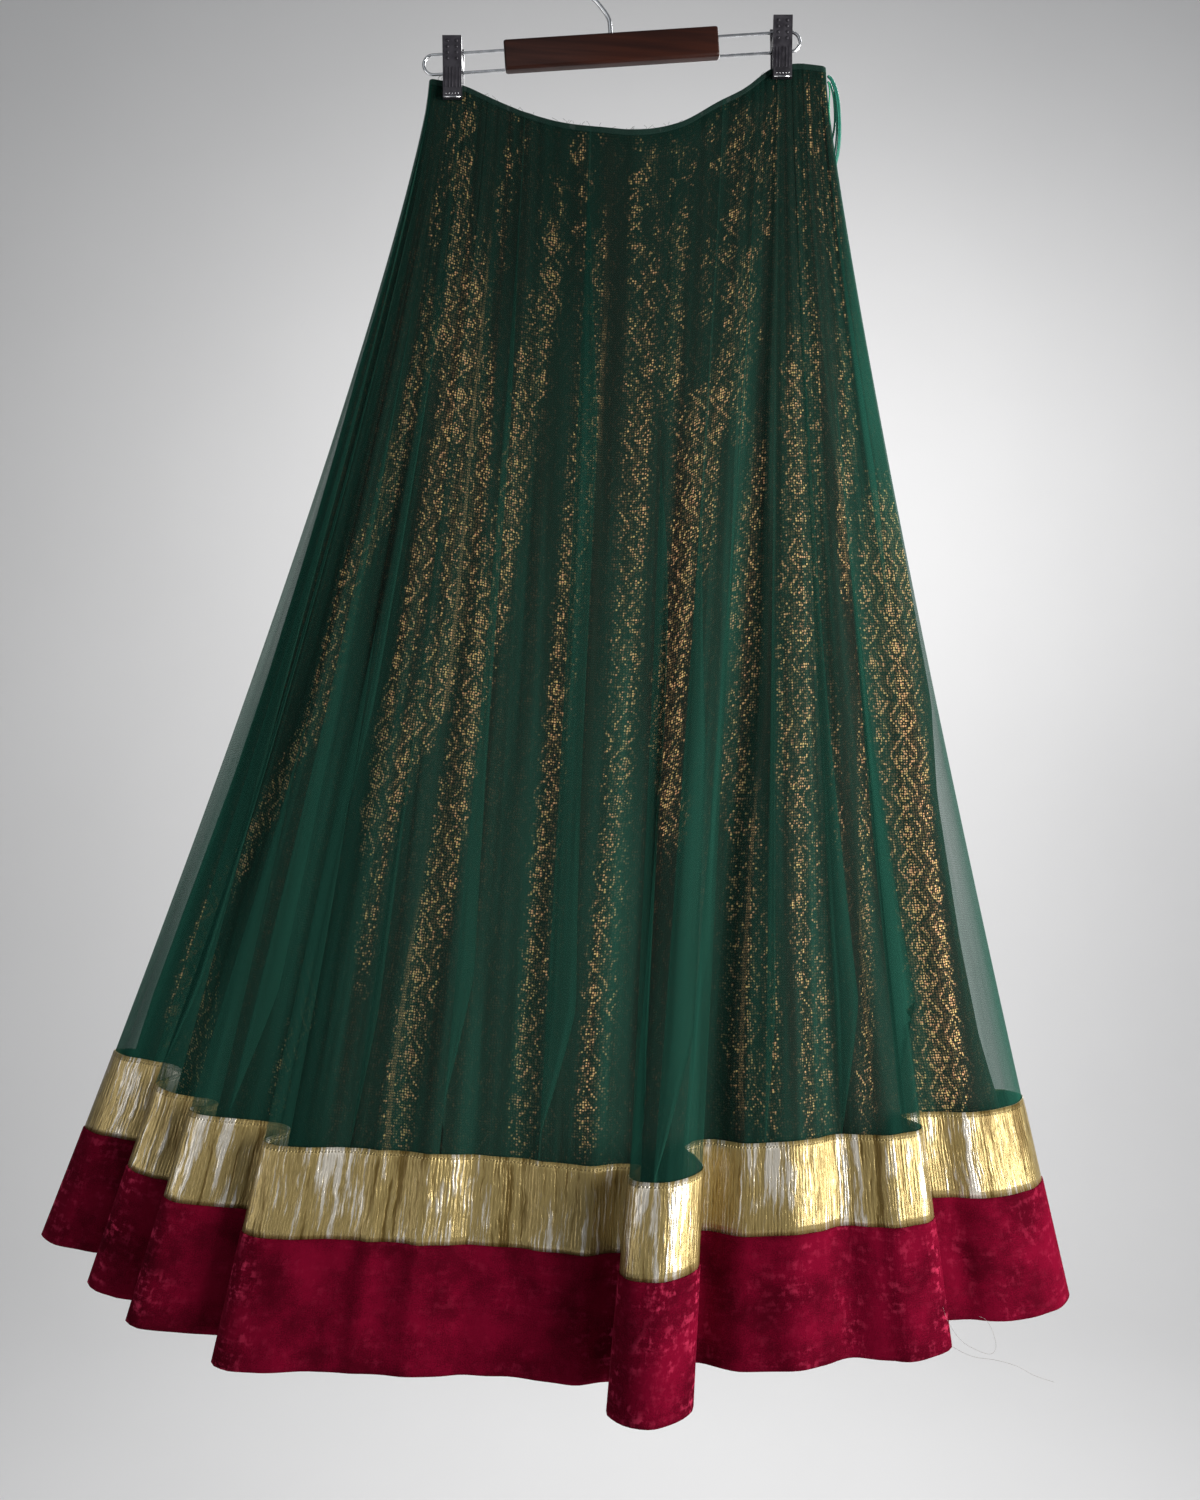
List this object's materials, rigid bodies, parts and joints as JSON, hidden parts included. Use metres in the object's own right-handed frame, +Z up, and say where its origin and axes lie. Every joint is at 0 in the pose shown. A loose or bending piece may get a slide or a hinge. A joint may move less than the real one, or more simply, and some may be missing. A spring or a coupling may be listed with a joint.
{
  "type": "lehenga skirt on clip hanger",
  "caption": "Floor-length flared lehenga skirt of net over brocade lining, with gold band and velvet hem, hung by its waist on a clip hanger.",
  "frame": {"origin": "inside top of the hanger's hook, where the hook rests on a rod", "axes": "+Z up, +X to the right of someone who faces the skirt, the skirt's front faces -Y"},
  "size_m": [0.9496, 0.2656, 1.2643],
  "materials": {
    "net": "sheer green net, slight sheen",
    "brocade": "dark green-black woven lining with copper-gold motifs",
    "gold_tissue": "ribbed metallic gold tissue band",
    "velvet": "deep crimson crushed velvet",
    "binding": "green net edge, bound",
    "satin": "shiny green satin cord",
    "wood": "dark walnut, varnished",
    "chrome": "polished chrome plating",
    "clip": "grey-purple coated metal, satin"
  },
  "bodies": {
    "root": {"net_front_left": "net", "net_front_inner": "net", "net_front_fold": "net", "net_front_right": "net", "net_back_right": "net", "net_back_left": "net", "lining_front_left": "brocade", "lining_front_right": "brocade", "lining_back_right": "brocade", "lining_back_left": "brocade", "gold_band_front": "gold_tissue", "gold_band_back": "gold_tissue", "velvet_hem_front": "velvet", "velvet_hem_back": "velvet", "waist_binding_front": "binding", "waist_binding_back": "binding", "waist_loop_outer": "satin", "waist_loop_inner": "satin", "hanger_bar": "wood", "hanger_hook": "chrome", "hanger_rail_left": "chrome", "hanger_rail_right": "chrome", "clip_left": "clip", "clip_left_lip_front": "chrome", "clip_left_lip_back": "chrome", "clip_right": "clip", "clip_right_lip_front": "chrome", "clip_right_lip_back": "chrome"}
  },
  "joints": []
}
